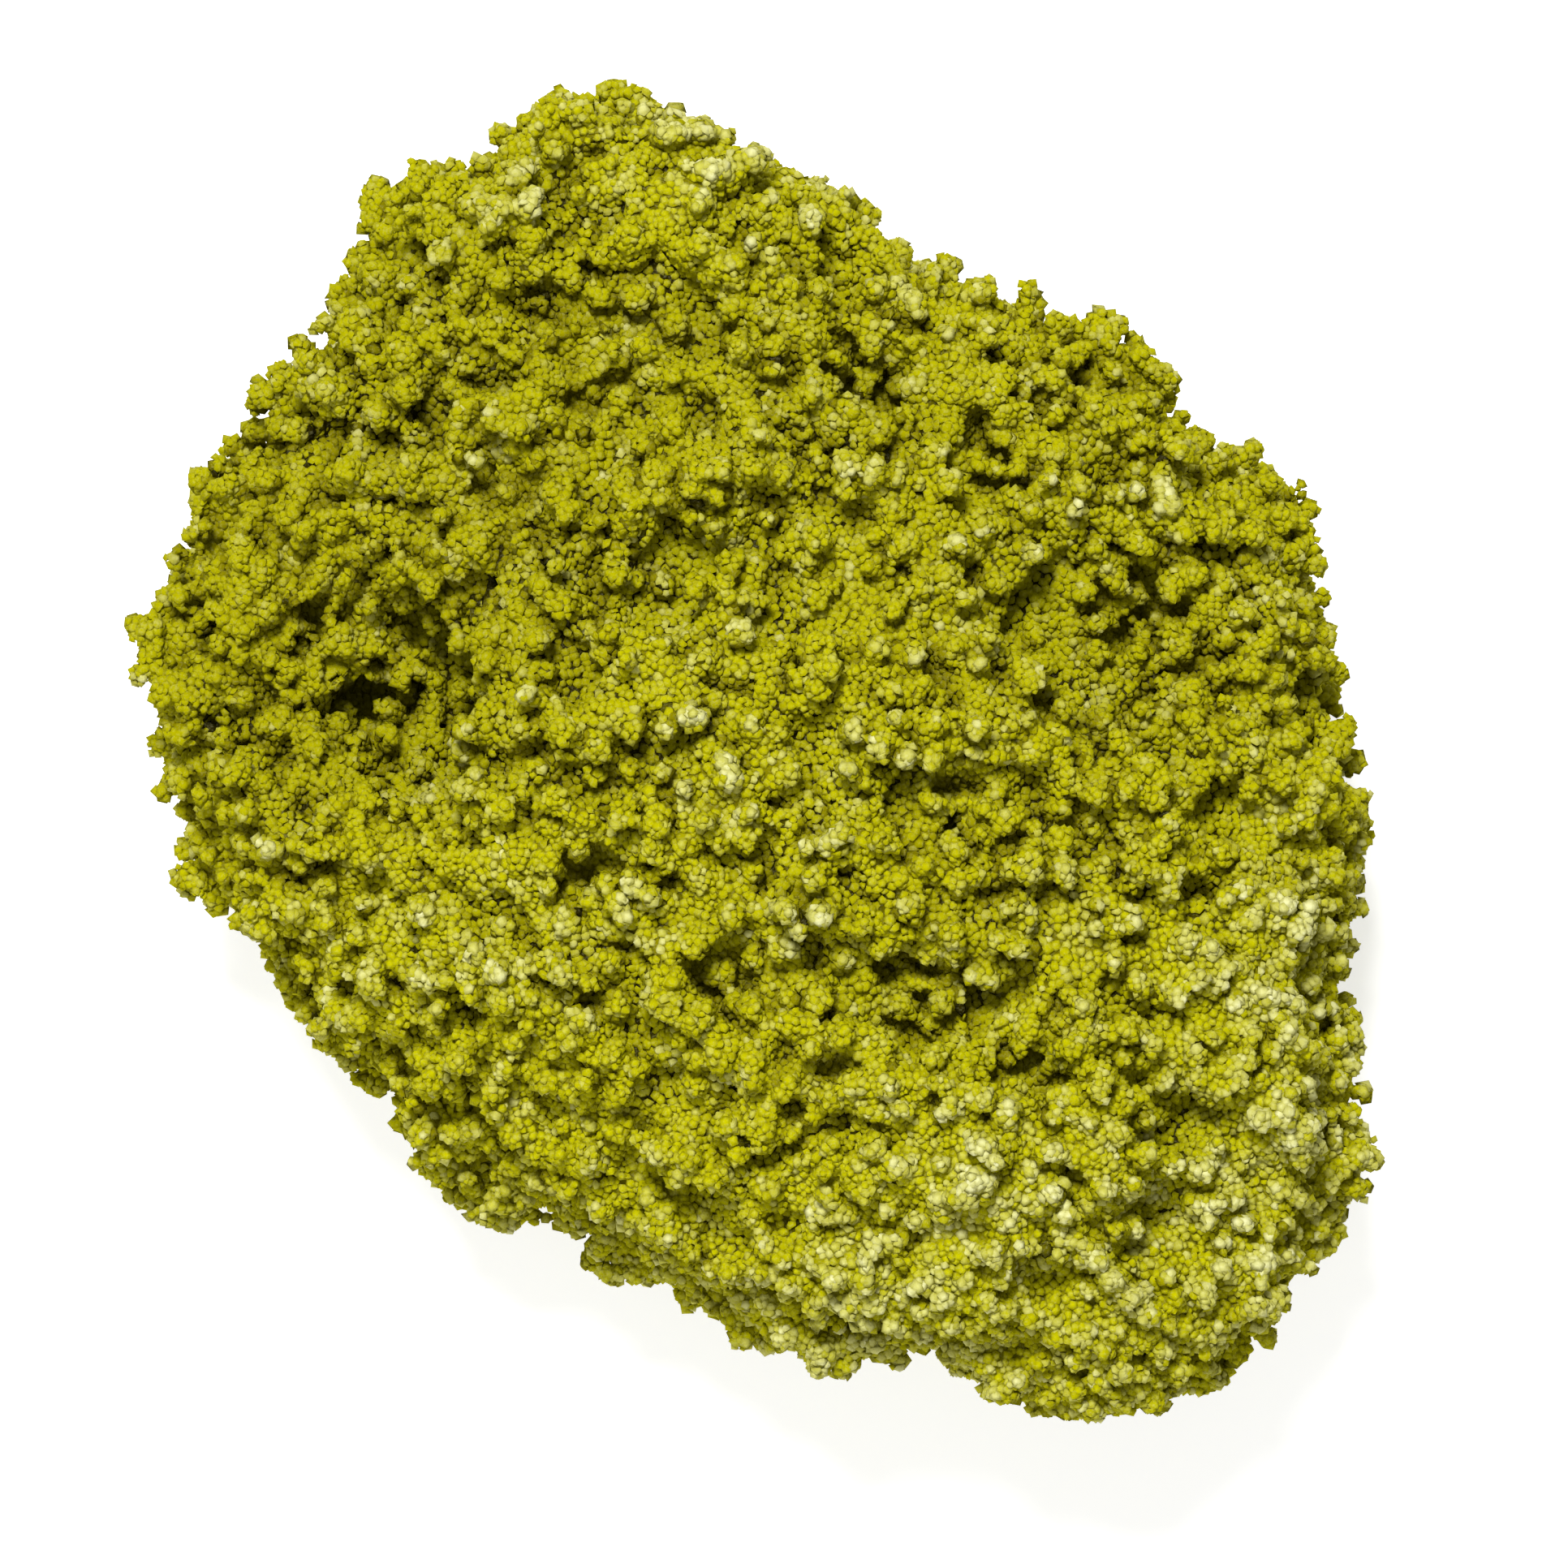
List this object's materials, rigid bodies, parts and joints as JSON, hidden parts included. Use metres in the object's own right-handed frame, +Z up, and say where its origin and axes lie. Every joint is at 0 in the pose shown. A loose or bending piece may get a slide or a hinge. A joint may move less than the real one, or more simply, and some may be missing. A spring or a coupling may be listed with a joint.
{
  "type": "nontronite specimen",
  "caption": "Loose mineral hand specimen: a rounded, knobbly mass of yellow-green botryoidal nontronite clay that lies on its flat broken back.",
  "frame": {"origin": "middle of the footprint, on the surface the specimen rests on", "axes": "+Z up out of the broken back, through the knobbly show face; +Y along the longer side of the footprint, towards its narrower end; +X across it"},
  "size_m": [0.0844, 0.0908, 0.0483],
  "materials": {
    "nontronite": "matte earthy yellow-green crust of round grains, paler and dusty where it is rubbed"
  },
  "bodies": {
    "root": {"nontronite_mass": "nontronite"}
  },
  "joints": []
}
